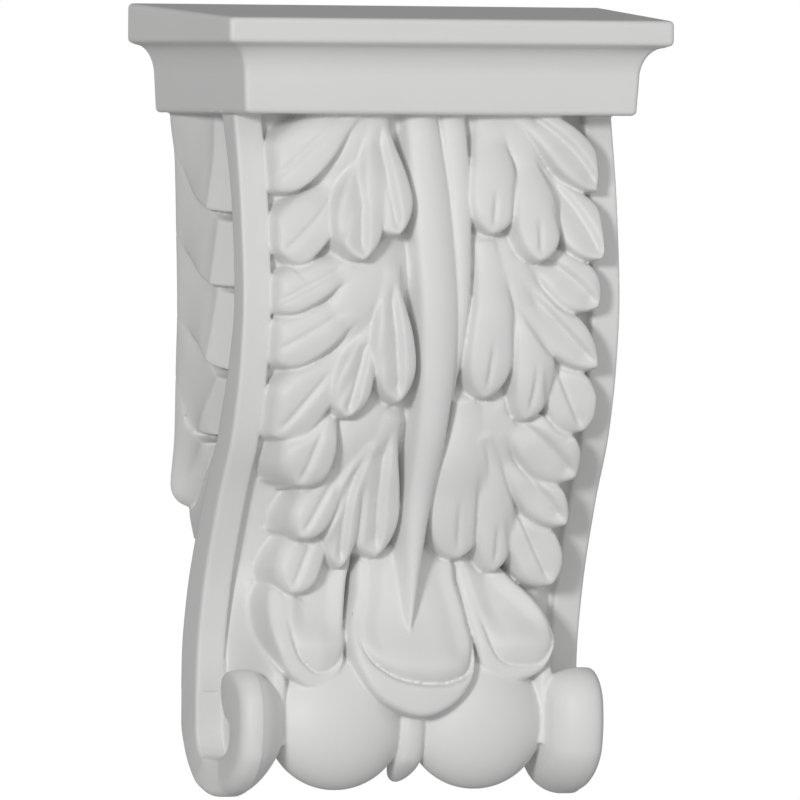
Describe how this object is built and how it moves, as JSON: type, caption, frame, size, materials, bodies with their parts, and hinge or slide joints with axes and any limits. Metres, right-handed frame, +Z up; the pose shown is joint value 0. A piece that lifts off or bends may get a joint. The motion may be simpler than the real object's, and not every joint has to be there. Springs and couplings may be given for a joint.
{
  "type": "leaf corbel",
  "caption": "Cast wall corbel with a moulded cap, S-shaped borders ending in scrolls, layered acanthus leaves, cupped leaves over two balls, and husks down the sides.",
  "frame": {"origin": "centre of the flat wall face, halfway between its top and the foot of the scrolls", "axes": "+Y out of the wall face into the wall, -Y to the front, +Z up, X across"},
  "size_m": [0.2124, 0.1045, 0.3301],
  "materials": {
    "white_primer": "smooth white primer with a faint sheen"
  },
  "bodies": {
    "root": {"leaf_corbel": "white_primer"}
  },
  "joints": []
}
